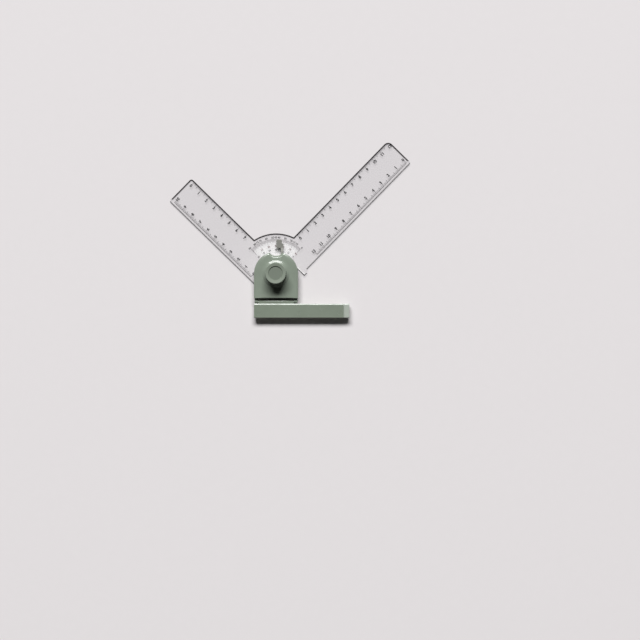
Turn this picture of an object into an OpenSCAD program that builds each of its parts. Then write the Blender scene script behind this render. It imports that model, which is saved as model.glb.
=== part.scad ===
// Adjustable drafting protractor.
// A clear L shaped rule turns on a head that is hinged to a slide rail.
// Origin: the rule's pivot axis on the drawing surface.
// +X runs along the rail, +Y points to the rule, +Z points up from the paper.

/* [Clear rule] */
// Thickness of the clear rule
rule_t = 2; // [1.6:0.1:2.6]
// Distance from the pivot to the end of the long arm
long_arm = 163; // [130:1:190]
// Distance from the pivot to the end of the short arm
short_arm = 119.6; // [100:0.2:150]
// Width of each arm
arm_w = 30.2; // [28:0.2:33]
// Distance of the long arm's inner edge from the pivot
long_in = 12.4; // [10:0.2:14]
// Distance of the short arm's inner edge from the pivot
short_in = 8.6; // [7:0.2:10]
// Angle of the rule past the middle notch of its turntable
rule_set = 0.7; // [-2:0.1:2]
// Radius of the sector that carries the angle scale
sector_r = 38.2; // [36:0.2:40]
// Radius of the round elbow under the head
elbow_r = 20; // [18:0.2:20.2]
// Step of the long arm's heel outside its drawing edge
heel_step = 2.4; // [1:0.1:4]
// Length of that heel along the arm, up to its slanted side
heel_l = 3.8; // [2:0.2:8]
// Corner radius at the inner tip of the long arm
tip_r = 5; // [2:0.5:8]
// Corner radius at the other corners of the arms
corner_r = 2.4; // [1:0.2:4]
// Width of the bevel along the two outer edges
bevel_w = 2.9; // [1:0.1:4]
// Depth of that bevel
bevel_d = 1; // [0.4:0.1:1.4]

/* [Scales] */
// Thickness of the printed marks
mark_t = 0.08; // [0.05:0.01:0.15]
// Width of a millimetre mark
mark_w = 0.28; // [0.1:0.02:0.4]
// Width of a five millimetre or centimetre mark
wide_mark_w = 0.36; // [0.1:0.02:0.5]
// Width of the line along the feet of these marks
base_line_w = 0.3; // [0.1:0.02:0.5]
// Length of a millimetre mark
mark_short = 1.9; // [1:0.1:3]
// Length of a five millimetre mark
mark_mid = 2.9; // [2:0.1:4]
// Length of a centimetre mark
mark_long = 3.8; // [2.6:0.1:5]
// Clear length past the last mark of the long arm
long_end = 3; // [2:0.5:8]
// Clear length past the last mark of the short arm
short_end = 4.4; // [2:0.2:8]
// Gap between a plain edge and its marks
edge_gap = 0.6; // [0.3:0.1:1.5]
// Distance of the degree marks inside the sector's edge
degree_inset = 5.4; // [4.6:0.2:7]
// Width of a degree mark
degree_mark_w = 0.14; // [0.1:0.02:0.2]
// Length of a one degree mark
degree_short = 2.3; // [1:0.1:3]
// Length of a five degree mark
degree_mid = 3.5; // [2:0.1:4]
// Length of a fifteen degree mark
degree_long = 5.1; // [3:0.1:6]
// Length of the last mark
degree_end = 6.8; // [3:0.1:8]

/* [Head] */
// Half width of the head's cover and radius of its round front
head_r = 20.6; // [20.4:0.1:22]
// Distance from the pivot to the cover's back face
head_back = 22.7; // [21.5:0.1:25]
// Height of the cover's flat top over the paper
head_top = 10; // [9.6:0.1:12]
// Wall thickness of the cover
wall = 1.4; // [1:0.1:1.6]
// Width of the gentle slope along the cover's round and side edges
edge_w = 1.6; // [1:0.1:2]
// Angle of that slope
edge_slope = 22; // [10:1:40]
// Rounding below that slope and along the back edge
edge_r = 0.6; // [0.3:0.1:0.8]
// Rise of the crowned top up to the collar
crown = 0.35; // [0:0.05:0.8]
// Foot radius of the collar round the knob
collar_r = 12.9; // [12:0.1:14]
// Height of that collar
collar_h = 2.2; // [1.2:0.1:2.4]
// Width of the collar's gently sloping skirt
skirt_w = 3; // [1:0.1:3]
// Height of that skirt
skirt_h = 1.25; // [0.4:0.05:1.4]
// Width of the ramp from the notch up to the collar
ramp_w = 12; // [8:0.5:14]
// Rise of that ramp
ramp_h = 0.8; // [0.2:0.1:1]
// Radius of the reading notch in the front edge
notch_r = 8.2; // [7:0.1:9]
// Distance from the pivot axis to the notch's deepest point
notch_in = 16.8; // [16.4:0.1:18]
// Width of the steep lip round that notch
notch_lip_w = 0.9; // [0.4:0.1:1.2]
// Depth of that lip
notch_lip_h = 1.1; // [0.5:0.1:1.5]
// Width of the gently sloping ring round the lip
notch_ring_w = 1.5; // [0.5:0.1:1.8]
// Depth of that ring
notch_ring_h = 0.65; // [0.2:0.05:1.2]
// Wall round the notch
notch_wall = 1; // [0.6:0.1:1.2]
// Thickness of the base plate
base_t = 2; // [1.6:0.1:2.4]

/* [Turntable and clamp] */
// Radius of the turntable's flange
table_r = 15.4; // [14.6:0.1:15.6]
// Thickness of that flange
table_t = 2; // [1.6:0.1:2.6]
// Radius of the rule's centre hole
rule_hole_r = 9; // [8.5:0.1:10]
// Radius of the clamp stud's shank
stud_r = 3; // [2.5:0.1:3.4]
// Radius of the stud's threaded end
thread_r = 2.5; // [2:0.1:2.6]
// Radius of the flange at the stud's foot
stud_foot_r = 7.5; // [6:0.1:8.2]
// Thickness of that flange
stud_foot_t = 0.9; // [0.6:0.1:0.9]
// Outer radius of the bearing bush
bush_r = 4.2; // [3.8:0.1:5]
// Inner radius of the detent ring
detent_in = 7.8; // [7.4:0.1:8.2]
// Outer radius of the detent ring
detent_out = 11; // [10.4:0.1:11.4]
// Thickness of the detent ring
detent_t = 0.8; // [0.6:0.1:1.2]
// Depth of its notches
detent_d = 0.4; // [0.2:0.05:0.5]
// Angle between two notches
detent_step = 15; // [15, 22.5, 45]
// Furthest turn of the rule to either side
turn_limit = 45; // [30:1:46]

/* [Knob] */
// Radius of the knob
knob_r = 9.75; // [8.5:0.05:10.5]
// Height of the knob
knob_h = 11.8; // [10.5:0.1:15]
// Fall of the knob's top rim towards the dish
rim_fall = 0.4; // [0:0.05:0.8]
// Depth of the dish in its top
dish_d = 1.3; // [1:0.1:1.5]
// Radius of the disc in that dish
dish_r = 6.4; // [6:0.05:7.4]
// Number of grip flutes round the knob
flutes = 40; // [24:2:48]
// Depth of a flute under the knob's rim
flute_d = 0.35; // [0.1:0.05:0.5]
// Radius of the threaded insert
insert_r = 4.5; // [4:0.1:5]

/* [Index lever] */
// Width of the lever's stem
stem_w = 2.1; // [2:0.1:3.2]
// Thickness of the stem
stem_t = 1.8; // [1.4:0.1:2]
// Width of the thumb block left of the stem
block_w = 5.2; // [4:0.1:5.4]
// Length of the thumb block's flat top
block_l = 7.7; // [6:0.1:8]
// Thickness of the block
block_h = 1.5; // [1.2:0.1:2]
// Distance from the pivot axis to the block's front
block_front = 32.3; // [30:0.1:33]
// Distance from the pivot axis to the bend where the stem comes down to the block
stem_bend = 21.2; // [20.8:0.1:22]
// Angle by which the lever is pressed down
lever_press = 5; // [4:0.5:6]
// Distance from the pivot axis to the lever's own pin
lever_y = 14.1; // [13.6:0.1:14.2]
// Radius of that pin
lever_pin_r = 0.6; // [0.4:0.05:0.7]

/* [Hinge and rail] */
// Distance from the pivot axis back to the hinge line
hinge_back = 25.9; // [25.5:0.1:27]
// Height of the hinge line over the paper
hinge_z = 5.8; // [5:0.1:6.2]
// Radius of the hinge knuckles
knuckle_r = 1.6; // [1.4:0.05:1.8]
// Radius of the hinge pin
hinge_pin_r = 0.8; // [0.6:0.05:1]
// Half width of the rail's tongue
tongue_x = 16.4; // [14:0.1:17]
// Thickness of each ear on the cover
ear_w = 3.2; // [2:0.1:3.6]
// Thickness of the straightedge that the rail rides on
bar_t = 3; // [2:0.1:3.4]
// Height of the rail's section
rail_h = 5; // [4.6:0.1:6]
// Width of the rail
rail_w = 13.4; // [12:0.1:16]
// Gap between the hinge knuckles and the rail
rail_gap = 0.3; // [0.3:0.05:1]
// Left end of the rail's body, left of the pivot
rail_left = 20.6; // [18:0.1:25]
// Right end of the rail's body, right of the pivot
rail_right = 63.2; // [55:0.1:90]
// Wall of the rail's channel
rail_wall = 1.4; // [1:0.1:2]
// Width of the gentle slope along the rail's front top edge
rail_slope_w = 1.1; // [0.3:0.1:1.4]
// Fall of that slope
rail_slope_h = 0.45; // [0.1:0.05:0.8]
// Width of the keel
keel_w = 5; // [4:0.1:6]
// Distance of the keel's centre line from the rail's back face
keel_in = 4.5; // [4.2:0.1:6]
// Length of the pale end cap outside the rail
cap_l = 4.5; // [3:0.1:8]
// Width of the dark joint before the cap
cap_joint = 0.8; // [0.4:0.1:1.5]
// Length of the cap's plug inside the rail
cap_plug = 6.6; // [5:0.1:10]

/* [Hidden] */
$fn = 96;

// Clearances: a fixed fit, a running fit and a free gap
fix = 0.02;
run = 0.05;
free = 0.3;
// Gaps round a screw in its clearance hole and round its head
hole_gap = 0.2;
head_gap = 0.1;
// Overreach of a cutting shape, and laps of shapes that join
over = 1;
lap = 0.5;
bite = 0.1;

// Heights over the paper, from the rule upwards
table_top = rule_t + table_t;
washer_t = 0.3;
base_z = table_top + washer_t;
base_top = base_z + base_t;
cover_z = rule_t + mark_t + free;
roof_z = head_top - wall;
boss_r = 5.5;
collar_top = head_top + crown + collar_h;
thrust_t = 0.4;
thrust_z = collar_top + free - thrust_t;
knob_z = collar_top + free;
knob_top = knob_z + knob_h;
spigot_t = 0.5;
spigot_z = rule_t - spigot_t;
stud_play = 0.1;
stud_foot_top = spigot_z - stud_play;
stud_foot_z = stud_foot_top - stud_foot_t;

// Plan sizes of the head
inner_r = head_r - wall;
plate_gap = 0.15;
plate_r = inner_r - plate_gap;
plate_back = head_back - wall - plate_gap;
notch_y = notch_in + notch_r;
front_screw = (inner_r + table_r) / 2 / sqrt(2);
back_screw_x = inner_r - 3;
back_screw_y = head_back - 4.5;
screw_r = 0.9;
screw_head_r = 1.5;
screw_head_t = 0.8;
screw_bite = 2;
post_r = 1.7;

// Clamp train
flat_half = (stud_r + thread_r) / 2;
cap_t = 0.8;
dish_z = knob_top - dish_d;
cap_z = dish_z - cap_t;
nut_t = 1.2;
nut_z = cap_z - free - nut_t;
nut_room_r = 5;
nut_r = nut_room_r - 0.8;
insert_top = nut_z - 0.6;

// Root of the long arm inside the elbow, the end of its heel, and the start of the short arm's bevel under
// the cover
arm_root = elbow_r - 3;
heel_end = arm_root + heel_l + heel_step;
bevel_start = 3;

// Rule screws, stop pin and click spring
rule_screw_r = (detent_out + table_r) / 2 - 0.3;
rule_screw_head = 1.9;
rule_screw_sink = 0.3;
rule_screw_foot = 0.15;
rule_screw_top = table_top - detent_t - 0.2;
stop_pin_r = 0.8;
stop_radius = rule_screw_r + 0.3;
stop_pin_z = rule_t + 0.4;
spring_t = 0.25;
spring_w = 1.7;
spring_y = (detent_in + detent_out) / 2 - 0.4;
spring_left = 9.4;
spring_hole_x = 7.8;
spring_screw_r = 0.6;
tooth_clear = 0.12;

// Index lever
block_x = 0.15;
stem_x = block_x + block_w - 0.8;
stem_z = base_z + 0.1;
stem_in = spring_y - spring_w / 2 - 0.2;
stem_out = block_front - block_l / 2;
lever_z = stem_z + stem_t / 2;
lever_pin_x0 = stem_x - 1.6;
lever_pin_x1 = stem_x + stem_w + 1.5;

// Rail
rail_front = -hinge_back - knuckle_r - rail_gap;
rail_back = rail_front - rail_w;
rail_top = bar_t + rail_h;
rail_roof = rail_top - rail_wall;
keel_y = rail_back + keel_in;
keel_left = rail_left - 2;
keel_right = rail_right - cap_plug - 0.6;
rail_screw_r = 0.9;
rail_screw_head = 1.6;
rail_sink = 1.2;
rail_screw_top = rail_top - 0.2;
rail_screw_foot = bar_t - 0.6;
rail_screw_x = [-rail_left + 4, (rail_right - rail_left) / 2, rail_right - 3.8];
ear_x = tongue_x + free + 0.1;
pin_half = ear_x + ear_w;

// Scale positions
function whole_cm(length) = 10 * floor(length / 10);
long_marks = whole_cm(long_arm - long_end - sector_r);
short_marks = whole_cm(short_arm - short_end - sector_r);
outer_start = 14;
outer_marks = whole_cm(short_arm - short_end - outer_start);
degree_r = sector_r - degree_inset;

sage = [0.50, 0.55, 0.48];
pale_sage = [0.66, 0.69, 0.65];
lever_grey = [0.53, 0.53, 0.51];
steel = [0.72, 0.73, 0.74];
spring_steel = [0.60, 0.61, 0.63];
brass = [0.78, 0.65, 0.35];
clear = [0.86, 0.88, 0.89, 0.4];
ink = [0.08, 0.08, 0.09];
nylon = [0.88, 0.87, 0.82];
fibre = [0.35, 0.24, 0.18];

// A bar along X whose section is drawn in Y and Z
module along_x(x0, length) {
    translate([x0, 0, 0]) rotate([90, 0, 90]) linear_extrude(length) children();
}

// A bar along Y whose section is drawn in X and Z
module along_y(y0, length) {
    translate([0, y0 + length, 0]) rotate([90, 0, 0]) linear_extrude(length) children();
}

// What a rounded corner leaves out of a square one
module corner_waste(x, y, r, side) {
    translate([x - r, y - side * r]) difference() {
        translate([0, side > 0 ? 0 : -r - over]) square(r + over);
        circle(r);
    }
}

module arm_outline(start, length, low, high, r_low, r_high) {
    difference() {
        translate([start, low]) square([length - start, high - low]);
        corner_waste(length, low, r_low, -1);
        corner_waste(length, high, r_high, 1);
    }
}

module sector_wedge(r) {
    intersection() {
        circle(r, $fn = 180);
        polygon([[0, 0], [2 * r, 2 * r], [-2 * r, 2 * r]]);
    }
}

module rule_outline() {
    circle(elbow_r);
    sector_wedge(sector_r);
    rotate(45) {
        arm_outline(arm_root, long_arm, long_in - arm_w, long_in, corner_r, tip_r);
        translate([0, long_in - arm_w]) polygon([
            [arm_root, arm_w / 2], [arm_root, -heel_step], [arm_root + heel_l, -heel_step],
            [heel_end, 0], [heel_end, arm_w / 2]]);
    }
    rotate(135) arm_outline(0, short_arm, -short_in, arm_w - short_in, corner_r, corner_r);
}

// The wedge of material that a bevel removes along an edge at y = 0
module bevel_waste(x0, length, side) {
    along_x(x0, length) polygon([
        [-side * over, rule_t + over], [side * bevel_w, rule_t + over],
        [side * bevel_w, rule_t], [0, rule_t - bevel_d], [-side * over, rule_t - bevel_d]]);
}

module rule_screw_places() {
    for (a = [90, 210, 330]) rotate(a) translate([rule_screw_r, 0, 0]) children();
}

// Profile of a countersunk screw, drawn on the right of its axis with the head at the bottom
module countersunk(length, shank, head) {
    rim = 0.2;
    rotate_extrude() polygon([[0, 0], [head, 0], [head, rim], [shank, head - shank + rim],
                              [shank, length], [0, length]]);
}

module angle_rule() {
    color(clear) difference() {
        rotate(rule_set) difference() {
            linear_extrude(rule_t) rule_outline();
            rotate(45) translate([0, long_in - arm_w, 0])
                bevel_waste(heel_end, long_arm, 1);
            rotate(135) translate([0, arm_w - short_in, 0])
                bevel_waste(bevel_start, short_arm, -1);
        }
        translate([0, 0, -over]) cylinder(r = rule_hole_r, h = rule_t + 2 * over);
        rule_screw_places() {
            translate([0, 0, -over]) {
                cylinder(r = screw_r + hole_gap, h = rule_t + 2 * over);
                cylinder(r = rule_screw_head + head_gap, h = over + rule_screw_sink);
            }
            translate([0, 0, rule_screw_sink])
                cylinder(r1 = rule_screw_head + head_gap, r2 = screw_r + hole_gap, h = 1);
        }
    }
}

function mark_length(i) = i % 10 == 0 ? mark_long : i % 5 == 0 ? mark_mid : mark_short;
function half_mark(i) = (i % 5 == 0 ? wide_mark_w : mark_w) / 2;

// A comb of marks: a base line along X with one mark up for each millimetre
module comb(count) {
    polygon(concat(
        [[count + half_mark(count), 0], [-half_mark(0), 0]],
        [for (i = [0:count]) let (h = half_mark(i), tip = mark_length(i)) each concat(
            i == 0 ? [] : [[i - h, base_line_w]],
            [[i - h, tip], [i + h, tip]],
            i == count ? [] : [[i + h, base_line_w]])]));
}

module length_scales() {
    color(ink) translate([0, 0, rule_t]) rotate(rule_set) linear_extrude(mark_t) {
        rotate(45) translate([long_arm - long_end - long_marks, 0]) {
            translate([0, long_in - edge_gap]) mirror([0, 1]) comb(long_marks);
            translate([0, long_in - arm_w + bevel_w]) comb(long_marks);
        }
        rotate(135) {
            translate([short_arm - short_end - outer_marks, arm_w - short_in - bevel_w])
                mirror([0, 1]) comb(outer_marks);
            translate([short_arm - short_end - short_marks, edge_gap - short_in])
                comb(short_marks);
        }
    }
}

function polar(r, a) = [r * cos(a), r * sin(a)];
function degree_length(i) = i % 15 == 0 ? degree_long : i % 5 == 0 ? degree_mid : degree_short;
// Angle between the middle of a mark and its side at a radius; the first and last marks are one-sided
function half_angle(r, end_mark) = asin((end_mark ? base_line_w : degree_mark_w / 2) / r);

module angle_scale() {
    last = 90;
    inner = degree_r - degree_mark_w;
    color(ink) translate([0, 0, rule_t]) rotate(rule_set + 45) linear_extrude(mark_t)
        polygon(concat(
            [for (i = [0:last]) polar(degree_r, i)],
            [for (j = [0:last]) let (i = last - j,
                                     tip = degree_r - (j == 0 ? degree_end : degree_length(i))) each concat(
                i == last ? [] : [polar(inner, i + half_angle(inner, i == 0))],
                i == last ? [polar(tip, i)] : [polar(tip, i + half_angle(tip, i == 0))],
                i == 0 ? [polar(tip, i)] : [polar(tip, i - half_angle(tip, i == last))],
                i == 0 ? [] : [polar(inner, i - half_angle(inner, i == last))])]));
}

// Plan of the cover: a round front, straight sides and a flat back
module head_plan(r, back) {
    circle(r, $fn = 144);
    translate([-r, -back]) square([2 * r, back]);
}

// Half section of the cover from its axis to its side
module cover_section() {
    steep = 90 - edge_slope;
    x1 = head_r - edge_r;
    fall = (edge_w - edge_r * (1 - cos(steep))) * tan(edge_slope);
    z1 = head_top - fall - edge_r * sin(steep);
    polygon(concat(
        [[0, cover_z], [head_r, cover_z]],
        [for (a = [0:steep / 4:steep]) [x1 + edge_r * cos(a), z1 + edge_r * sin(a)]],
        [[head_r - edge_w, head_top], [collar_r, head_top + crown], [0, head_top + crown]]));
}

module cover_body() {
    z1 = head_top + crown - edge_r;
    y1 = edge_r - head_back;
    intersection() {
        union() {
            rotate_extrude($fn = 144) cover_section();
            along_y(-head_back, head_back) {
                cover_section();
                mirror([1, 0]) cover_section();
            }
        }
        along_x(-head_r - over, 2 * (head_r + over)) polygon(concat(
            [[head_r + over, cover_z - over], [-head_back, cover_z - over], [-head_back, z1]],
            [for (a = [170:-10:100]) [y1 + edge_r * cos(a), z1 + edge_r * sin(a)]],
            [[y1, head_top + crown], [head_r + over, head_top + crown]]));
    }
}

// Collar under the knob: a gently sloping skirt round a straight wall
module collar() {
    z0 = head_top + crown;
    rotate_extrude() polygon([[0, z0 - lap], [collar_r, z0 - lap], [collar_r, z0],
                              [collar_r - skirt_w, z0 + skirt_h], [collar_r - skirt_w, collar_top],
                              [0, collar_top]]);
}

// Flat that climbs from the notch to the collar's skirt
module notch_ramp() {
    lead = 0.3;
    foot = notch_in - lead;
    head = collar_r - skirt_w;
    intersection() {
        translate([0, 0, roof_z]) linear_extrude(knob_top) polygon([
            [-ramp_w / 2, foot], [ramp_w / 2, foot], [ramp_w / 3, head], [-ramp_w / 3, head]]);
        along_x(-ramp_w, 2 * ramp_w) polygon([
            [foot, roof_z], [foot, head_top], [head, head_top + ramp_h], [head, roof_z]]);
    }
}

module cover_screw_places() {
    for (s = [-1, 1]) {
        translate([s * front_screw, front_screw, 0]) children();
        translate([s * back_screw_x, -back_screw_y, 0]) children();
    }
}

module head_cover() {
    notch_top = head_top + crown;
    lip_r = notch_r + notch_lip_w;
    color(sage) difference() {
        union() {
            difference() {
                union() {
                    cover_body();
                    collar();
                    notch_ramp();
                }
                difference() {
                    translate([0, 0, cover_z - over])
                        linear_extrude(roof_z - cover_z + over) head_plan(inner_r, head_back - wall);
                    translate([0, notch_y, 0]) cylinder(r = notch_r + notch_wall, h = head_top);
                    intersection() {
                        translate([0, 0, base_top])
                            linear_extrude(head_top) head_plan(inner_r + bite, head_back - wall);
                        cover_screw_places() cylinder(r = post_r, h = head_top);
                    }
                }
            }
            for (s = [-1, 1]) along_x(s > 0 ? ear_x : -pin_half, ear_w) {
                translate([-hinge_back, hinge_z]) circle(knuckle_r);
                translate([-hinge_back, hinge_z - knuckle_r])
                    square([hinge_back - head_back + wall / 2, 2 * knuckle_r]);
            }
        }
        translate([0, notch_y, cover_z - over]) cylinder(r = notch_r, h = head_top + over);
        translate([0, notch_y, notch_top - notch_ring_h]) {
            cylinder(r1 = lip_r, r2 = lip_r + 2 * notch_ring_w, h = 2 * notch_ring_h);
            translate([0, 0, -notch_lip_h]) cylinder(r1 = notch_r, r2 = lip_r, h = notch_lip_h);
        }
        translate([stem_x - free, lever_y - 1, cover_z - over])
            cube([stem_w + 2 * free, head_r, stem_z + stem_t + free - cover_z + over]);
        cylinder(r = boss_r + free, h = knob_top);
        translate([0, 0, cover_z - over]) cylinder(r = table_r + free, h = base_z - cover_z + over);
        cover_screw_places() cylinder(r = screw_r + fix, h = base_top + screw_bite + bite);
        along_x(-pin_half - over, 2 * (pin_half + over))
            translate([-hinge_back, hinge_z]) circle(hinge_pin_r + run);
    }
}

// Round shank with two flats, which can slide but not turn
module keyed_plan(gap) {
    intersection() {
        circle(stud_r + gap);
        square([4 * stud_r, 2 * (flat_half + gap)], center = true);
    }
}

// Curved slot for the stop pin on the back side of the plate
module stop_slot() {
    spare_angle = 1.5;
    half = turn_limit + spare_angle;
    r = stop_pin_r + 0.25;
    rotate(270 - half) rotate_extrude(angle = 2 * half)
        translate([stop_radius - r, base_z - over]) square([2 * r, base_t + 2 * over]);
    for (s = [-1, 1]) rotate(270 + s * half) translate([stop_radius, 0, base_z - over])
        cylinder(r = r, h = base_t + 2 * over);
}

module head_base() {
    window = 1.3;
    color(sage) difference() {
        union() {
            translate([0, 0, base_z]) linear_extrude(base_t) head_plan(plate_r, plate_back);
            translate([0, 0, base_z]) cylinder(r = boss_r, h = thrust_z - base_z);
        }
        translate([0, 0, base_z - over]) linear_extrude(knob_top) keyed_plan(run);
        translate([0, notch_y, base_z - over])
            cylinder(r = notch_r + notch_wall + plate_gap, h = base_t + 2 * over);
        stop_slot();
        cover_screw_places() cylinder(r = screw_r + hole_gap, h = knob_top);
        translate([-window, spring_y - window, base_z - over])
            cube([2 * window, 2 * window, base_t + 2 * over]);
        translate([stem_x - free, stem_in - free, base_z - over])
            cube([stem_w + 2 * free, head_r, base_t + 2 * over]);
        translate([-spring_hole_x, spring_y, base_z - over])
            cylinder(r = spring_screw_r + fix, h = base_t + 2 * over);
        along_x(lever_pin_x0, head_r) translate([lever_y, lever_z]) circle(lever_pin_r + fix);
    }
}

module cover_screws() {
    color(steel) cover_screw_places() {
        translate([0, 0, base_z - screw_head_t]) cylinder(r = screw_head_r, h = screw_head_t);
        translate([0, 0, base_z - bite]) cylinder(r = screw_r, h = base_t + screw_bite);
    }
}

// Flat click spring on the base plate, with its tooth down in the middle notch
module click_spring() {
    eye_r = 1.6;
    tooth_w = 1.6;
    tooth = 0.7;
    tooth_tip = 0.25;
    tip = table_top - detent_d + tooth_clear;
    shoulder = table_top + 0.4;
    root = base_top + bite;
    color(spring_steel) difference() {
        union() {
            translate([-spring_left, spring_y - spring_w / 2, base_top])
                cube([spring_left + stem_x + stem_w - 0.4, spring_w, spring_t]);
            translate([-spring_hole_x, spring_y, base_top]) cylinder(r = eye_r, h = spring_t);
            along_y(spring_y - tooth_w / 2, tooth_w) polygon([
                [-tooth_tip, tip], [tooth_tip, tip], [tooth, shoulder], [tooth, root],
                [-tooth, root], [-tooth, shoulder]]);
        }
        translate([-spring_hole_x, spring_y, base_top - over])
            cylinder(r = spring_screw_r + fix, h = 2 * over);
    }
}

module spring_screw() {
    head = 1.3;
    head_t = 0.7;
    color(steel) translate([-spring_hole_x, spring_y, 0]) {
        translate([0, 0, base_z + 0.2])
            cylinder(r = spring_screw_r, h = base_t + spring_t - 0.1);
        translate([0, 0, base_top + spring_t]) cylinder(r = head, h = head_t);
    }
}

// Underside of the block, which lies just over the marks when the lever is pressed
function block_low(y) = rule_t + mark_t + free + (y - lever_y) * tan(lever_press);

module index_lever() {
    back = block_front - block_l;
    nose = 0.5;
    color(lever_grey) difference() {
        union() {
            along_x(stem_x, stem_w) polygon([
                [stem_in, stem_z], [stem_bend, stem_z],
                [back, block_low(back) + bite], [stem_out, block_low(stem_out) + bite],
                [stem_out, block_low(stem_out) + block_h - bite],
                [back, block_low(back) + block_h - bite],
                [stem_bend, stem_z + stem_t], [stem_in, stem_z + stem_t]]);
            along_x(block_x, block_w) polygon([
                [back, block_low(back)], [block_front, block_low(block_front)],
                [block_front, block_low(block_front) + block_h - nose],
                [block_front - nose, block_low(block_front - nose) + block_h],
                [back, block_low(back) + block_h]]);
        }
        along_x(stem_x - over, stem_w + 2 * over)
            translate([lever_y, lever_z]) circle(lever_pin_r + run);
    }
}

module lever_pin() {
    color(steel) along_x(lever_pin_x0 + 0.1, lever_pin_x1 - lever_pin_x0)
        translate([lever_y, lever_z]) circle(lever_pin_r);
}

module ring(z, inner, outer, h) {
    translate([0, 0, z]) difference() {
        cylinder(r = outer, h = h);
        translate([0, 0, -over]) cylinder(r = inner, h = h + 2 * over);
    }
}

module friction_washer() {
    color(fibre) ring(table_top, stud_r + 0.3, detent_in - 0.5, washer_t);
}

module thrust_washer() {
    color(nylon) ring(thrust_z, stud_r + 0.1, boss_r - 0.2, thrust_t);
}

module turntable() {
    color(sage) difference() {
        union() {
            translate([0, 0, rule_t]) cylinder(r = table_r, h = table_t);
            translate([0, 0, spigot_z]) cylinder(r = rule_hole_r - run, h = spigot_t + bite);
        }
        translate([0, 0, -over]) cylinder(r = bush_r, h = table_top + 2 * over);
        ring(table_top - detent_t, detent_in - fix, detent_out + fix, detent_t + over);
        rule_screw_places() cylinder(r = screw_r + fix, h = rule_screw_top + bite);
        translate([0, -stop_radius, stop_pin_z]) cylinder(r = stop_pin_r, h = table_top);
    }
}

module detent_ring() {
    half = 0.85;
    half_low = 0.3;
    color(steel) difference() {
        ring(table_top - detent_t, detent_in, detent_out, detent_t);
        for (a = [0:detent_step:359]) rotate(a) along_y(detent_in - over, detent_out)
            polygon([[-half_low, table_top - detent_d], [half_low, table_top - detent_d],
                     [half, table_top + bite], [-half, table_top + bite]]);
    }
}

module hub_bush() {
    color(brass) ring(spigot_z, stud_r + run, bush_r, table_top - spigot_z);
}

module rule_screws() {
    color(steel) rule_screw_places() translate([0, 0, rule_screw_foot])
        countersunk(rule_screw_top - rule_screw_foot, screw_r, rule_screw_head);
}

module stop_pin() {
    color(steel) translate([0, -stop_radius, stop_pin_z])
        cylinder(r = stop_pin_r, h = base_top - 0.2 - stop_pin_z);
}

module clamp_stud() {
    flat_z = table_top + 0.2;
    color(steel) {
        translate([0, 0, stud_foot_z]) cylinder(r = stud_foot_r, h = stud_foot_t);
        difference() {
            translate([0, 0, stud_foot_z]) cylinder(r = stud_r, h = thrust_z - stud_foot_z);
            for (s = [-1, 1]) translate([-2 * stud_r, s > 0 ? flat_half : -flat_half - over, flat_z])
                cube([4 * stud_r, over, knob_top]);
        }
        translate([0, 0, stud_foot_z]) cylinder(r = thread_r, h = nut_z + nut_t - stud_foot_z);
    }
}

module stud_nut() {
    color(steel) translate([0, 0, nut_z]) difference() {
        cylinder(r = nut_r, h = nut_t, $fn = 6);
        translate([0, 0, -over]) cylinder(r = thread_r + fix, h = nut_t + 2 * over);
    }
}

module knob_body() {
    flute_r = 0.45;
    flute_low = 1;
    flute_high = 1.6;
    foot = 0.5;
    rim = 0.45;
    lip = 0.3;
    color(sage) difference() {
        rotate_extrude($fn = 120) polygon([
            [insert_r, knob_z], [knob_r - foot, knob_z], [knob_r, knob_z + foot],
            [knob_r, knob_top - 2 * rim], [knob_r - rim / 3, knob_top - rim],
            [knob_r - rim, knob_top], [dish_r + lip, knob_top - rim_fall], [dish_r, dish_z],
            [dish_r, cap_z], [nut_room_r, cap_z], [nut_room_r, insert_top],
            [insert_r, insert_top]]);
        for (i = [0:flutes - 1]) rotate(360 * i / flutes)
            translate([knob_r + flute_r - flute_d, 0, knob_z + flute_low])
                cylinder(r = flute_r, h = knob_h - flute_low - flute_high);
    }
}

module knob_insert() {
    color(brass) ring(knob_z, thread_r + run, insert_r, insert_top - knob_z);
}

module knob_cap() {
    color(sage) translate([0, 0, cap_z]) cylinder(r = dish_r - fix, h = cap_t, $fn = 120);
}

// Outer section of the rail and of its end cap
module rail_section() {
    back_edge = 0.5;
    polygon([[rail_back, bar_t], [rail_front, bar_t], [rail_front, rail_top - rail_slope_h],
             [rail_front - rail_slope_w, rail_top], [rail_back + back_edge, rail_top],
             [rail_back, rail_top - back_edge]]);
}

module rail_body() {
    chan_back = rail_back + rail_wall;
    chan_w = rail_w - 2 * rail_wall;
    cone_t = 0.7;
    head_hole = rail_screw_head + head_gap;
    color(sage) difference() {
        union() {
            along_x(-rail_left, rail_left + rail_right) rail_section();
            along_x(-tongue_x, 2 * tongue_x) {
                translate([-hinge_back, hinge_z]) circle(knuckle_r);
                translate([rail_front - lap, hinge_z - knuckle_r])
                    square([-hinge_back - rail_front + lap, 2 * knuckle_r]);
            }
        }
        translate([rail_wall - rail_left, chan_back, bar_t - over])
            cube([rail_left + rail_right, chan_w, rail_roof - bar_t + over]);
        along_x(-tongue_x - over, 2 * (tongue_x + over))
            translate([-hinge_back, hinge_z]) circle(hinge_pin_r + fix);
        for (x = rail_screw_x) translate([x, keel_y, 0]) {
            cylinder(r = rail_screw_r + head_gap, h = rail_top);
            translate([0, 0, rail_top - rail_sink]) {
                cylinder(r1 = rail_screw_r + head_gap, r2 = head_hole, h = cone_t);
                translate([0, 0, cone_t - fix]) cylinder(r = head_hole, h = rail_sink);
            }
        }
    }
}

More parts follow.
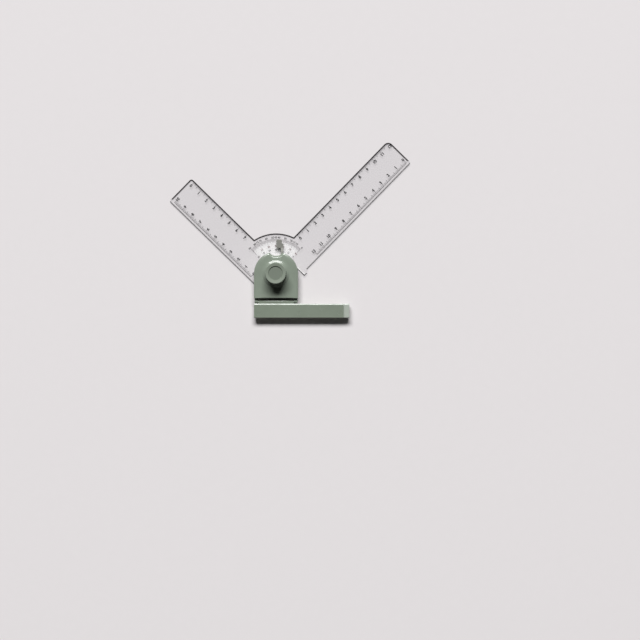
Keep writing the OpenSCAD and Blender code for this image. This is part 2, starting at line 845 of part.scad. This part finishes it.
module rail_end_cap() {
    neck = 0.5;
    x1 = rail_right + cap_joint;
    color(pale_sage) difference() {
        union() {
            along_x(x1, cap_l) rail_section();
            translate([rail_right, rail_back + neck, bar_t])
                cube([cap_joint + bite, rail_w - 2 * neck, rail_h - neck]);
            translate([rail_right - cap_plug, rail_back + rail_wall + run, bar_t])
                cube([cap_plug + bite, rail_w - 2 * rail_wall - 2 * run, rail_h - rail_wall - fix]);
        }
        translate([rail_screw_x[2], keel_y, bar_t - over])
            cylinder(r = rail_screw_r + fix, h = rail_h);
    }
}

module runner_keel() {
    color(nylon) difference() {
        translate([-keel_left, keel_y - keel_w / 2, 0])
            cube([keel_left + keel_right, keel_w, rail_roof]);
        for (i = [0, 1]) translate([rail_screw_x[i], keel_y, rail_screw_foot])
            cylinder(r = rail_screw_r + fix, h = rail_top);
    }
}

// Bowed strip that bears on the wall of the straightedge's groove
module runner_spring() {
    x0 = -10;
    x1 = keel_right - 10;
    steps = 24;
    bow = 0.9;
    strip_z = 0.6;
    strip_w = 1.8;
    y0 = keel_y + keel_w / 2;
    edge = [for (i = [0:steps]) [x0 + (x1 - x0) * i / steps, y0 + bow * sin(180 * i / steps)]];
    color(spring_steel) translate([0, 0, strip_z]) linear_extrude(strip_w)
        polygon(concat(edge, [for (i = [steps:-1:0]) edge[i] + [0, spring_t]]));
}

module rail_screws() {
    color(steel) for (x = rail_screw_x) translate([x, keel_y, rail_screw_top]) mirror([0, 0, 1])
        countersunk(rail_screw_top - bar_t - 0.2, rail_screw_r, rail_screw_head);
}

module hinge_pin() {
    color(steel) along_x(-pin_half + 0.1, 2 * pin_half - 0.2)
        translate([-hinge_back, hinge_z]) circle(hinge_pin_r);
}

rail_body();
rail_end_cap();
runner_keel();
runner_spring();
rail_screws();
hinge_pin();
head_cover();
head_base();
cover_screws();
click_spring();
spring_screw();
index_lever();
lever_pin();
friction_washer();
thrust_washer();
angle_rule();
length_scales();
angle_scale();
turntable();
detent_ring();
hub_bush();
rule_screws();
stop_pin();
clamp_stud();
stud_nut();
knob_body();
knob_insert();
knob_cap();
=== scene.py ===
"""Looks of the adjustable drafting protractor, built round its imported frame. All lengths are in metres."""

import math

import bmesh
import bpy
from mathutils import Matrix, Vector
from mathutils.geometry import delaunay_2d_cdt


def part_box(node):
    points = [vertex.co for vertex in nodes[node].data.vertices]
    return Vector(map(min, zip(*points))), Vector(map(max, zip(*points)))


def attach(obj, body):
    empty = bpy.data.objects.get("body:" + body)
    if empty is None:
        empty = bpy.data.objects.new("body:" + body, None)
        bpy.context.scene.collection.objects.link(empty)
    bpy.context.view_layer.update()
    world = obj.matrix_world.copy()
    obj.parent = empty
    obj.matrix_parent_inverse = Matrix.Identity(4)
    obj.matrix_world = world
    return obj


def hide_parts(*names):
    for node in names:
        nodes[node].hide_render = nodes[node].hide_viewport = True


MM = 0.001
CM = 0.01

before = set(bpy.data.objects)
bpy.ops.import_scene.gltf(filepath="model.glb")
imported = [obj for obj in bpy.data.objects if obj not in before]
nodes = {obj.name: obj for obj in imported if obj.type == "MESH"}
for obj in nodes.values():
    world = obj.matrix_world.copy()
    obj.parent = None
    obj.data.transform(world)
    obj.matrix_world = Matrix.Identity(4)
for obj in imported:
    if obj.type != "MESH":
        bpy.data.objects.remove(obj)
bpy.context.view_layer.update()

# Sizes of the clear rule, the same as in the part's source

RULE_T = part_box("angle_rule")[1].z
MARK_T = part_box("angle_scale")[1].z - RULE_T
RULE_SET = math.radians(0.7)
LONG_TURN = 45
SHORT_TURN = 135
LONG_ARM = 163 * MM
SHORT_ARM = 119.6 * MM
LONG_END = 3 * MM
SHORT_END = 4.4 * MM
LONG_SCALE = 12
SHORT_SCALE = 10
SCALE_ANGLE = 90

# Bands of painted shade and painted light along the edges of the clear sheet, for the light its edges bend.
# Each has two widths: for a side that faces away from the light, and for one that faces it.

PAINTED_SHADE_BAND = (0.95 * MM, 1.35 * MM)
PAINTED_LIGHT_BAND = (0.8 * MM, 0.3 * MM)
TURNED_AWAY = -0.3
BEVEL_DEPTH = 1.0 * MM
# Reach from the pivot within which the sector is drawn whiter
WHITER_DIAL = 29 * MM

# Limits that tell points, sides and faces apart

SAME_POINT = 0.001 * MM
SAME_HEIGHT = 0.01 * MM
UNDERSIDE_H = 0.1 * MM
PARALLEL = 0.001
CREASE = math.radians(30)
FLAT_NORMAL = 0.98
SLOPED_NORMAL = 0.5

# The choice of delaunay_2d_cdt that keeps the triangles inside the given edges

INSIDE_ONLY = 1

# Printed numbers

NUMBER_H = 3.0 * MM
NUMBER_WEIGHT = 0.045
DEGREE_WEIGHT = 0.02
GLYPH_STEPS = 5

# Studio

FLOOR_REACH = 6.0
FLOOR_Z = -0.3 * MM
LIT_POINT = Vector((0.03, 0.02, 0))
LAMP_DISTANCE = 20.0
AMBIENT = 0.02
SENSOR = 36
LENS = 71.8
CAMERA_PLACE = (41.06 * MM, -43.09 * MM, 1.2)
CAMERA_NEAR = 0.01
CAMERA_FAR = 50


# Helpers

def srgb(r, g, b):
    """A linear colour from 0 to 255 display values."""
    def linear(v):
        v /= 255
        return v / 12.92 if v <= 0.04045 else ((v + 0.055) / 1.055) ** 2.4
    return (linear(r), linear(g), linear(b), 1)


def shade(colour, factor):
    """The colour made darker or lighter."""
    return tuple(c * factor for c in colour[:3]) + (1,)


def blend(low, high, share):
    """A number between low and high, at a share from 0 to 1."""
    return low + (high - low) * min(max(share, 0), 1)


def shown(name, data):
    """A new object in the scene."""
    made = bpy.data.objects.new(name, data)
    bpy.context.scene.collection.objects.link(made)
    return made


# Colours

WHITE = (1, 1, 1, 1)
SAGE = srgb(131, 141, 127)
SAGE_LIGHT = srgb(160, 169, 156)
# The cover's sage, lighter than the other pieces': painted sheen on its top
COVER_PAINTED_SHEEN = srgb(137, 147, 134)
COVER_LIGHT = srgb(168, 176, 165)
PALE = srgb(172, 180, 170)
PALE_LIGHT = srgb(205, 211, 203)
LEVER = srgb(139, 139, 133)
LEVER_LIGHT = srgb(150, 151, 146)
NYLON = srgb(226, 223, 211)
NYLON_LIGHT = srgb(240, 238, 230)
PAPER = srgb(231, 227, 228)
CLEAR = (0.95, 0.95, 0.955, 1)
# Darker tint of the sheet's side walls: painted shade of its edges
WALL_PAINTED_SHADE = (0.62, 0.62, 0.64, 1)
# Nearly black tint of the band of painted shade along the sheet's edges, and the light that passes through
# it
PAINTED_SHADE_TINT = (0.012, 0.011, 0.011, 1)
PAINTED_SHADE_PASSES = (0.94, 0.94, 0.94, 1)
INK_LIGHT = (0.88, 0.88, 0.88, 1)


# Materials

class ShaderTree:
    """Adds nodes to a material or a world, and feeds them."""

    def __init__(self, owner, output):
        owner.use_nodes = True
        self.owner = owner
        self.shaders = owner.node_tree
        self.shaders.nodes.clear()
        self.output = self.add(output)

    def feed(self, socket, value):
        """Links a socket to another one, or gives it a number or colour of its own."""
        if isinstance(value, bpy.types.NodeSocket):
            self.shaders.links.new(value, socket)
        else:
            socket.default_value = value

    def add(self, kind, inputs=None, **settings):
        """A new node with its settings, and with its inputs fed by name or number."""
        node = self.shaders.nodes.new("ShaderNode" + kind)
        for key, value in settings.items():
            setattr(node, key, value)
        for key, value in (inputs or {}).items():
            self.feed(node.inputs[key], value)
        return node

    def calculate(self, operation, first, second):
        return self.add("Math", {0: first, 1: second}, operation=operation).outputs[0]

    def position(self):
        """Where a point lies on its piece, in metres."""
        return self.add("TexCoord").outputs["Object"]

    def noise(self, size, detail=3, roughness=0.5, place=None):
        """Noise whose features are about size metres across, read at the position or at another place."""
        inputs = {
            "Vector": place or self.position(),
            "Scale": 1 / size,
            "Detail": detail,
            "Roughness": roughness,
        }
        return self.add("TexNoise", inputs).outputs["Fac"]

    def ramp(self, source, *stops):
        """A colour ramp between two stops, each a place from 0 to 1 and a colour."""
        node = self.add("ValToRGB", {"Fac": source})
        for element, (place, colour) in zip(node.color_ramp.elements, stops):
            element.position = place
            element.color = colour
        return node.outputs["Color"]

    def span(self, source, low, high, to_low=0, to_high=1):
        """The source, mapped so that low becomes to_low and high becomes to_high, and held at these."""
        inputs = {"Value": source, "From Min": low, "From Max": high, "To Min": to_low, "To Max": to_high}
        return self.add("MapRange", inputs).outputs["Result"]

    def mix(self, factor, first, second):
        """Mixes two colours; each may be a socket or a colour."""
        return self.add("Mix", {0: factor, 6: first, 7: second}, data_type="RGBA").outputs[2]

    def edges(self, reach):
        """1 within reach metres of the piece's own convex edges, and 0 away from them."""
        settings = {"inside": True, "only_local": True, "samples": 8}
        openness = self.add("AmbientOcclusion", {"Distance": reach}, **settings).outputs["AO"]
        return self.span(openness, low=0.55, high=0.95, to_low=1, to_high=0)

    def bump(self, height, distance, strength=1.0):
        inputs = {"Height": height, "Distance": distance, "Strength": strength}
        return self.add("Bump", inputs).outputs["Normal"]

    def principled(self, **inputs):
        """A Principled shader; an underscore in a name stands for a space."""
        spaced = {key.replace("_", " "): value for key, value in inputs.items()}
        return self.add("BsdfPrincipled", spaced).outputs["BSDF"]

    def choose(self, factor, first, second):
        """The first shader where the factor is 0, the second where it is 1."""
        return self.add("MixShader", {0: factor, 1: first, 2: second}).outputs["Shader"]

    def light_passes(self, surface, tint):
        """The surface as it is seen, while light for what lies under it passes straight through, tinted."""
        path = self.add("LightPath").outputs
        lighting = self.calculate("MAXIMUM", path["Is Shadow Ray"], path["Is Diffuse Ray"])
        through = self.add("BsdfTransparent", {"Color": tint}).outputs["BSDF"]
        return self.choose(lighting, surface, through)

    def finish(self, surface):
        self.feed(self.output.inputs["Surface"], surface)
        return self.owner


def look_tree(name):
    """The shader tree of a new material."""
    return ShaderTree(bpy.data.materials.new(name), "OutputMaterial")


def moulded_plastic(name, colour, edge_colour, roughness=0.3):
    """Satin moulded plastic: a fine spark texture, faint flow marks and rubbed lighter edges."""
    tree = look_tree(name)
    flow_marks = tree.noise(14 * MM, detail=4)
    specks = tree.noise(0.5 * MM, detail=2)
    rubbing = tree.noise(1.5 * MM)
    gloss = tree.noise(6 * MM)
    grain = tree.noise(0.25 * MM, detail=2, roughness=0.6)

    flow = tree.ramp(flow_marks, (0.3, shade(colour, 0.95)), (0.7, shade(colour, 1.04)))
    body = tree.mix(tree.span(specks, 0.62, 0.72, 0, 0.10), flow, shade(colour, 0.7))
    rubbed = tree.calculate("MULTIPLY", tree.edges(0.35 * MM), tree.span(rubbing, 0.35, 0.65, 0.15, 0.75))
    surface = tree.principled(
        Base_Color=tree.mix(rubbed, body, edge_colour),
        Roughness=tree.span(gloss, 0.3, 0.7, roughness - 0.06, roughness + 0.07),
        Normal=tree.bump(grain, 0.012 * MM, strength=0.5),
        IOR=1.46,
    )
    return tree.finish(surface)


def metal(name, colour, roughness):
    """Turned or drawn metal with fine streaks along x."""
    tree = look_tree(name)
    stretched = tree.add("Mapping", {"Vector": tree.position(), "Scale": (1, 12, 12)}).outputs["Vector"]
    streaks = tree.noise(1.6 * MM, detail=4, place=stretched)
    surface = tree.principled(
        Base_Color=tree.ramp(streaks, (0.3, shade(colour, 0.8)), (0.7, shade(colour, 1.08))),
        Metallic=1.0,
        Roughness=tree.span(streaks, 0.3, 0.7, roughness - 0.08, roughness + 0.08),
        Normal=tree.bump(streaks, 0.004 * MM, strength=0.5),
    )
    return tree.finish(surface)


def fibre(name, colour):
    """Pressed fibre washer with short threads."""
    tree = look_tree(name)
    threads = tree.noise(0.3 * MM, detail=6, roughness=0.8)
    surface = tree.principled(
        Base_Color=tree.ramp(threads, (0.35, shade(colour, 0.6)), (0.65, shade(colour, 1.3))),
        Roughness=0.9,
        Normal=tree.bump(threads, 0.02 * MM),
    )
    return tree.finish(surface)


def printed_ink(name, colour):
    """Matt screen printing ink, a little uneven, in a film that hardly shades what lies under it."""
    tree = look_tree(name)
    film = tree.principled(
        Base_Color=tree.ramp(tree.noise(0.6 * MM), (0.3, colour), (0.75, shade(colour, 2.2))),
        Roughness=0.45,
        Normal=tree.bump(tree.noise(0.15 * MM, detail=2), 0.004 * MM, strength=0.4),
    )
    return tree.finish(tree.light_passes(film, INK_LIGHT))


def polished(tree, colour, passes, roughness, clearness=1.0):
    """Finishes a tree as clear plastic that bends what is seen through it.

    Light passes straight down to what lies under it, and passes is its tint once it has crossed two faces.
    """
    glass = tree.principled(
        Base_Color=colour,
        Roughness=tree.span(tree.noise(5 * MM, detail=4), 0.3, 0.75, roughness, roughness + 0.05),
        Normal=tree.bump(tree.noise(2.2 * MM, detail=5, roughness=0.7), 0.002 * MM, strength=0.12),
        IOR=1.49,
        Transmission_Weight=clearness,
    )
    one_face = tuple(math.sqrt(c) for c in passes)
    return tree.finish(tree.light_passes(glass, one_face))


def clear_acrylic(name, tint, roughness, passes=None, clearness=1.0):
    """Clear plastic. What clearness leaves of it is plain colour, used as painted light, as at a polished
    edge that gathers light.
    """
    return polished(look_tree(name), tint, passes or tint, roughness, clearness)


def dial_acrylic(name, tint, roughness):
    """Clear plastic drawn whiter and less clear in the middle of the sector, round the +Y direction."""
    tree = look_tree(name)
    reach = tree.add("VectorMath", {0: tree.position()}, operation="LENGTH").outputs["Value"]
    ahead = tree.add("SeparateXYZ", {0: tree.position()}).outputs["Y"]
    near = tree.span(reach, WHITER_DIAL, WHITER_DIAL + 3 * MM, 1, 0)
    between_arms = tree.span(tree.calculate("DIVIDE", ahead, reach), 0.66, 0.80)
    zone = tree.calculate("MULTIPLY", near, between_arms)
    return polished(tree, tree.mix(zone, tint, WHITE), tint, roughness, tree.span(zone, 0, 1, 1, 0.75))


def bevel_acrylic(name, roughness):
    """Clear bevel of the rule, with painted shade along its thin outer edge and painted light above it."""
    tree = look_tree(name)
    height = tree.add("SeparateXYZ", {0: tree.position()}).outputs["Z"]
    share = tree.span(height, RULE_T - BEVEL_DEPTH, RULE_T)
    # Painted shade low on the bevel and painted light above it, for the light the bevel bends
    colour = tree.ramp(share, (0.38, (0.10, 0.10, 0.10, 1)), (0.46, (0.97, 0.97, 0.97, 1)))
    return polished(tree, colour, WHITE, roughness)


sage = moulded_plastic("sage_plastic_look", SAGE, SAGE_LIGHT, roughness=0.22)
cover_look = moulded_plastic("cover_look", COVER_PAINTED_SHEEN, COVER_LIGHT, roughness=0.18)
knob_look = moulded_plastic("knob_look", SAGE, SAGE_LIGHT, roughness=0.56)
disc_look = moulded_plastic("disc_look", shade(SAGE, 0.78), SAGE_LIGHT, roughness=0.56)
pale = moulded_plastic("pale_plastic_look", PALE, PALE_LIGHT)
lever_look = moulded_plastic("lever_plastic_look", LEVER, LEVER_LIGHT, roughness=0.62)
nylon = moulded_plastic("nylon_look", NYLON, NYLON_LIGHT, roughness=0.35)
steel = metal("steel_look", srgb(196, 198, 200), 0.28)
spring_steel = metal("spring_steel_look", srgb(160, 164, 170), 0.22)
brass = metal("brass_look", srgb(214, 180, 105), 0.26)
washer_look = fibre("fibre_look", srgb(120, 88, 62))
ink = printed_ink("ink_look", srgb(12, 12, 14))
thin_ink = printed_ink("thin_ink_look", srgb(44, 41, 44))
red_ink = printed_ink("red_ink_look", srgb(78, 40, 40))
faint_ink = printed_ink("faint_ink_look", srgb(66, 60, 63))
acrylic = dial_acrylic("acrylic_look", CLEAR, 0.01)
# Painted shade on the sheet's side walls
acrylic_shaded_wall = clear_acrylic("acrylic_shaded_wall_look", WALL_PAINTED_SHADE, 0.05)
acrylic_bevel = bevel_acrylic("acrylic_bevel_look", 0.08)
# Painted shade along the sheet's edges
acrylic_painted_shade = clear_acrylic("acrylic_painted_shade_look", PAINTED_SHADE_TINT, 0.05, passes=PAINTED_SHADE_PASSES)
# Painted light inside the edges that face away from the light
acrylic_painted_light = clear_acrylic("acrylic_painted_light_look", WHITE, 0.2, clearness=0.4)

LOOKS = {
    sage: ["rail_body", "head_base", "turntable", "rail_screws"],
    cover_look: ["head_cover"],
    knob_look: ["knob_body"],
    disc_look: ["knob_cap"],
    pale: ["rail_end_cap"],
    lever_look: ["index_lever"],
    nylon: ["runner_keel", "thrust_washer"],
    steel: ["hinge_pin", "cover_screws", "spring_screw", "lever_pin", "rule_screws", "stop_pin",
            "clamp_stud", "stud_nut", "detent_ring"],
    spring_steel: ["runner_spring", "click_spring"],
    brass: ["hub_bush", "knob_insert"],
    washer_look: ["friction_washer"],
    thin_ink: ["length_scales"],
    faint_ink: ["angle_scale"],
}
for look, names in LOOKS.items():
    for name in names:
        for slot in nodes[name].material_slots:
            slot.material = look


# Softened edges on the moulded pieces

def rounding(piece, name, width):
    """A small round along the creases of a piece."""
    bevel = piece.modifiers.new(name, "BEVEL")
    bevel.width = width
    bevel.segments = 2
    bevel.limit_method = "ANGLE"
    bevel.angle_limit = CREASE
    bevel.harden_normals = True


SOFT_EDGES = {
    "rail_body": 0.25 * MM,
    "rail_end_cap": 0.3 * MM,
    "index_lever": 0.25 * MM,
    "knob_cap": 0.1 * MM,
    "head_cover": 0.12 * MM,
}
for name, width in SOFT_EDGES.items():
    weld = nodes[name].modifiers.new("weld", "WELD")
    weld.merge_threshold = 2 * SAME_POINT
    rounding(nodes[name], "soft_edges", width)


# The clear rule

SHEET_LOOKS = (acrylic, acrylic_shaded_wall, acrylic_bevel, acrylic_painted_shade, acrylic_painted_light)
FLAT, WALL, BEVEL, PAINTED_SHADE, PAINTED_LIGHT = range(len(SHEET_LOOKS))


def after(chain):
    """The same closed chain, one place on."""
    return chain[1:] + chain[:1]


def boundary_loops(faces):
    """Closed loops of points round a list of flat faces, each with the faces on its left."""
    members = set(faces)
    follows = {}
    for face in faces:
        for loop in face.loops:
            if not any(other in members for other in loop.edge.link_faces if other is not face):
                follows[loop.vert] = loop.link_loop_next.vert
    loops = []
    while follows:
        vert = next(iter(follows))
        chain = []
        while vert in follows:
            chain.append(vert)
            vert = follows.pop(vert)
        loops.append(chain)
    return loops


def inset(points, widths):
    """A closed loop of points whose sides are moved to their left by their widths.

    A side too short to follow shrinks to the point where its neighbours meet.
    """
    count = len(points)
    spans = [end - start for start, end in zip(points, after(points))]
    ways = [span.normalized() for span in spans]
    lefts = [Vector((-way.y, way.x)) for way in ways]

    def meeting(i, j):
        """Where the moved sides i and j meet; side j leaves point j."""
        start = points[i] + lefts[i] * widths[i]
        own = points[j] + lefts[j] * widths[j]
        cross = ways[i].cross(ways[j])
        if abs(cross) < PARALLEL:
            return own
        return start + ways[i] * ((own - start).cross(ways[j]) / cross)

    kept = [i for i in range(count) if spans[i].length > SAME_POINT]
    while True:
        corner = {side: meeting(before, side) for before, side in zip(kept[-1:] + kept[:-1], kept)}
        turned = [side for side, follower in zip(kept, after(kept))
                  if (corner[follower] - corner[side]).dot(ways[side]) < 0]
        if not turned:
            break
        kept.remove(min(turned, key=lambda side: spans[side].length))
    moved = []
    for i in range(count):
        side = next(k % count for k in range(i, i + count) if k % count in corner)
        moved.append(corner[side])
    return moved


def side_facing(start, end):
    """How far a side, with the material on its left, faces the light: from -1 to 1."""
    way = (end - start).xy
    return -way.x / way.length if way.length else 0


def winding(point, points, edges):
    """How many times the edges run round a point, anticlockwise; holes and clockwise turns count down."""
    turns = 0
    for a, b in edges:
        start, end = points[a].co, points[b].co
        if (start.y > point.y) != (end.y > point.y):
            crossing = start.x + (point.y - start.y) * (end.x - start.x) / (end.y - start.y)
            if point.x < crossing:
                turns += 1 if end.y > start.y else -1
    return turns


def lowest(face):
    return min(vert.co.z for vert in face.verts)


def face_look(face):
    """The look of a face of the CAD mesh, by how steep it is."""
    level = abs(face.normal.z)
    if level > FLAT_NORMAL:
        return FLAT
    return BEVEL if level > SLOPED_NORMAL else WALL


def band_look(sloped, ring, facing):
    """No band beside a bevel, a band of painted shade at every other edge, and one of painted light inside
    those turned away.
    """
    if sloped:
        return FLAT
    if ring == 0:
        return PAINTED_SHADE
    return PAINTED_LIGHT if facing < TURNED_AWAY else FLAT


def add_bands(bm, chain, bevelled, with_painted_light):
    """Lays a band of painted shade, and one of painted light if asked, inside a loop of the top. Gives the
    innermost loop.
    """
    slopes = [bm.edges.get(pair) in bevelled for pair in zip(chain, after(chain))]
    facing = [side_facing(start.co, end.co) for start, end in zip(chain, after(chain))]
    bands = (PAINTED_SHADE_BAND, PAINTED_LIGHT_BAND) if with_painted_light else (PAINTED_SHADE_BAND,)
    for ring, (away, lit) in enumerate(bands):
        widths = [blend(away, lit, share + 0.5) for share in facing]
        moved = inset([vert.co.xy for vert in chain], widths)
        inner = [bm.verts.new((p.x, p.y, chain[0].co.z)) for p in moved]
        sides = zip(chain, after(chain), after(inner), inner)
        for i, side in enumerate(sides):
            face = bm.faces.new(side)
            face.material_index = band_look(slopes[i], ring, facing[i])
        chain = inner
    return chain


def fill_top(bm, rims):
    """Fills what the bands leave of the top. rims are its outline and the edges of its holes."""
    points = []
    edges = []
    for rim in rims:
        numbers = list(range(len(points), len(points) + len(rim)))
        edges += zip(numbers, after(numbers))
        points += rim
    flat = [vert.co.xy for vert in points]
    places, _, triangles, sources, *_ = delaunay_2d_cdt(flat, edges, [], INSIDE_ONLY, SAME_POINT / 10)
    corners = [points[source[0]] if source else bm.verts.new((place.x, place.y, RULE_T))
               for place, source in zip(places, sources)]
    for triangle in triangles:
        middle = sum((corners[i].co.xy for i in triangle), Vector((0, 0))) / 3
        if winding(middle, points, edges) > 0:
            bm.faces.new([corners[i] for i in triangle])


def band_top(bm):
    """Remakes the top of the sheet with its bands.

    Its bands paint the shade that clear plastic shows along every edge, and the light it shows inside the
    edges that face away from the light.
    """
    top = [face for face in bm.faces if face.normal.z > FLAT_NORMAL and lowest(face) > RULE_T - SAME_HEIGHT]
    members = set(top)
    sloping = [face for face in bm.faces if face not in members and lowest(face) > UNDERSIDE_H]
    bevelled = {edge for face in sloping for edge in face.edges}
    loops = boundary_loops(top)
    outline = max(loops, key=lambda chain: sum((b.co - a.co).length for a, b in zip(chain, after(chain))))
    rims = [add_bands(bm, chain, bevelled, chain is outline) for chain in loops]
    bmesh.ops.delete(bm, geom=top, context="FACES")
    fill_top(bm, rims)


def clear_rule():
    """The rule's sheet, as a copy of the CAD mesh that has its own looks and its bands of painted shade and
    light.
    """
    mesh = nodes["angle_rule"].data.copy()
    mesh.materials.clear()
    for look in SHEET_LOOKS:
        mesh.materials.append(look)
    bm = bmesh.new()
    bm.from_mesh(mesh)
    bmesh.ops.remove_doubles(bm, verts=bm.verts, dist=SAME_POINT)
    for face in bm.faces:
        face.material_index = face_look(face)
    band_top(bm)
    bmesh.ops.remove_doubles(bm, verts=bm.verts, dist=SAME_POINT)
    bm.to_mesh(mesh)
    bm.free()
    if "custom_normal" in mesh.attributes:
        mesh.attributes.remove(mesh.attributes["custom_normal"])
    mesh.polygons.foreach_set("use_smooth", [True] * len(mesh.polygons))
    mesh.set_sharp_from_angle(angle=CREASE)
    piece = shown("clear_sheet", mesh)
    rounding(piece, "polished_edges", 0.12 * MM)
    return piece


sheet = clear_rule()
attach(sheet, "rule")
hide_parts("angle_rule")


# Printed numbers

def glyphs(text, weight):
    """Flat mesh of a number, centred, one unit high. weight thickens its strokes."""
    curve = bpy.data.curves.new("glyphs", "FONT")
    curve.body = text
    curve.align_x = "CENTER"
    curve.resolution_u = GLYPH_STEPS
    curve.offset = weight
    holder = shown("glyphs", curve)
    bpy.context.view_layer.update()
    mesh = bpy.data.meshes.new_from_object(holder)
    bpy.data.objects.remove(holder)
    bpy.data.curves.remove(curve)
    low = min(vert.co.y for vert in mesh.vertices)
    high = max(vert.co.y for vert in mesh.vertices)
    mesh.transform(Matrix.Scale(1 / (high - low), 4) @ Matrix.Translation((0, -(low + high) / 2, 0)))
    return mesh


def print_numbers(name, marks, look, weight):
    """One piece of printed numbers. marks are (number, matrix); the matrix places a glyph one unit high."""
    bm = bmesh.new()
    for number, matrix in marks:
        flat = glyphs(str(number), weight)
        flat.transform(matrix)
        bm.from_mesh(flat)
        bpy.data.meshes.remove(flat)
    bmesh.ops.solidify(bm, geom=list(bm.faces), thickness=MARK_T)
    lift = RULE_T - min(vert.co.z for vert in bm.verts)
    bmesh.ops.translate(bm, verts=bm.verts, vec=(0, 0, lift))
    mesh = bpy.data.meshes.new(name)
    bm.to_mesh(mesh)
    bm.free()
    mesh.materials.append(look)
    piece = shown(name, mesh)
    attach(piece, "rule")


def placed(turn, along, across, reading, size):
    """Places a glyph, size metres high, along and across a line that runs out from the pivot.

    turn is the line's angle from +X before the rule's own setting, and reading is how far the glyph is spun
    from being read along the line, both in degrees.
    """
    line = Matrix.Rotation(math.radians(turn) + RULE_SET, 4, "Z")
    spin = Matrix.Rotation(math.radians(reading), 4, "Z")
    return line @ Matrix.Translation((along, across, 0)) @ spin @ Matrix.Diagonal((size, size, 1, 1))


long_zero = LONG_ARM - LONG_END - LONG_SCALE * CM
short_end = SHORT_ARM - SHORT_END
short_zero = short_end - SHORT_SCALE * CM
to_long = range(LONG_SCALE + 1)
to_short = range(SHORT_SCALE + 1)

# Name, the arm's turn, where the first number is, step, distance from the arm's axis, reading and numbers
ARM_ROWS = (
    ("long_inner_numbers", LONG_TURN, long_zero, CM, 7.4 * MM, 0, to_long),
    ("long_outer_numbers", LONG_TURN, long_zero - 0.3 * MM, CM, -10.2 * MM, 0, to_long[::-1]),
    ("short_outer_numbers", SHORT_TURN, short_zero, CM, 14.6 * MM, -90, to_short),
    ("short_inner_numbers", SHORT_TURN, short_end, -CM, -3.5 * MM, 180, to_short[:8]),
)
for name, turn, start, step, across, reading, numbers in ARM_ROWS:
    marks = [(n, placed(turn, start + i * step, across, reading, NUMBER_H)) for i, n in enumerate(numbers)]
    print_numbers(name, marks, ink, NUMBER_WEIGHT)

fifteens = range(0, SCALE_ANGLE + 1, 15)
tens_and_fifteens = sorted({*range(0, SCALE_ANGLE + 1, 10), *fifteens})

# Name, the number at each degree, radius, height and look
DIAL_ROWS = (
    ("degree_numbers", {n: n for n in tens_and_fifteens}, 34.4 * MM, 1.9 * MM, ink),
    ("degree_complements", {n: SCALE_ANGLE - n for n in fifteens[:-1]}, 26.4 * MM, 1.7 * MM, red_ink),
    ("degree_inner_numbers", {n: n for n in fifteens}, 22.8 * MM, 1.6 * MM, ink),
)
for name, numbers, radius, size, look in DIAL_ROWS:
    marks = [(n, placed(LONG_TURN + degree, radius, 0, -90, size)) for degree, n in numbers.items()]
    print_numbers(name, marks, look, DEGREE_WEIGHT)


# Floor, light and camera

def plain_floor():
    tree = look_tree("floor_look")
    tint = tree.ramp(tree.noise(8 * MM, detail=4), (0.3, shade(PAPER, 0.992)), (0.7, PAPER))
    look = tree.finish(tree.principled(Base_Color=tint, Roughness=0.85, Specular_IOR_Level=0.0))
    mesh = bpy.data.meshes.new("floor")
    ways = ((-1, -1), (1, -1), (1, 1), (-1, 1))
    corners = [(x * FLOOR_REACH, y * FLOOR_REACH, FLOOR_Z) for x, y in ways]
    mesh.from_pydata(corners, [], [(0, 1, 2, 3)])
    mesh.materials.append(look)
    floor = shown("floor", mesh)


def lamp(name, azimuth, elevation, size, power):
    """Area lamp that shines at the object. Azimuth 0 is over -Y."""
    data = bpy.data.lights.new(name, "AREA")
    data.shape = "RECTANGLE"
    data.size, data.size_y = size
    data.energy = power
    holder = shown(name, data)
    turn = math.radians(azimuth)
    rise = math.radians(elevation)
    toward = Vector((math.sin(turn) * math.cos(rise), -math.cos(turn) * math.cos(rise), math.sin(rise)))
    holder.location = toward * LAMP_DISTANCE + LIT_POINT
    holder.rotation_euler = toward.to_track_quat("Z", "Y").to_euler()
    holder.visible_camera = False
    holder.visible_transmission = False


def plain_world():
    """Pale paper where it is seen, directly or through clear plastic, and a faint even light elsewhere."""
    world = bpy.data.worlds.new("studio")
    bpy.context.scene.world = world
    tree = ShaderTree(world, "OutputWorld")
    path = tree.add("LightPath").outputs
    seen = tree.calculate("MAXIMUM", path["Is Camera Ray"], path["Is Transmission Ray"])
    direct = tree.calculate("LESS_THAN", path["Diffuse Depth"], 0.5)
    light = tree.add("Background", {"Color": WHITE, "Strength": AMBIENT}).outputs[0]
    paper = tree.add("Background", {"Color": PAPER, "Strength": 1.0}).outputs[0]
    tree.finish(tree.choose(tree.calculate("MULTIPLY", seen, direct), light, paper))


def camera():
    data = bpy.data.cameras.new("camera")
    data.sensor_width = SENSOR
    data.lens = LENS
    data.clip_start = CAMERA_NEAR
    data.clip_end = CAMERA_FAR
    holder = shown("camera", data)
    holder.location = CAMERA_PLACE
    bpy.context.scene.camera = holder


plain_floor()
lamp("window", azimuth=184, elevation=48, size=(14, 5.6), power=5480)
lamp("low_fill", azimuth=10, elevation=6, size=(24, 3.6), power=240)
plain_world()
camera()
bpy.context.scene.view_settings.view_transform = "Standard"
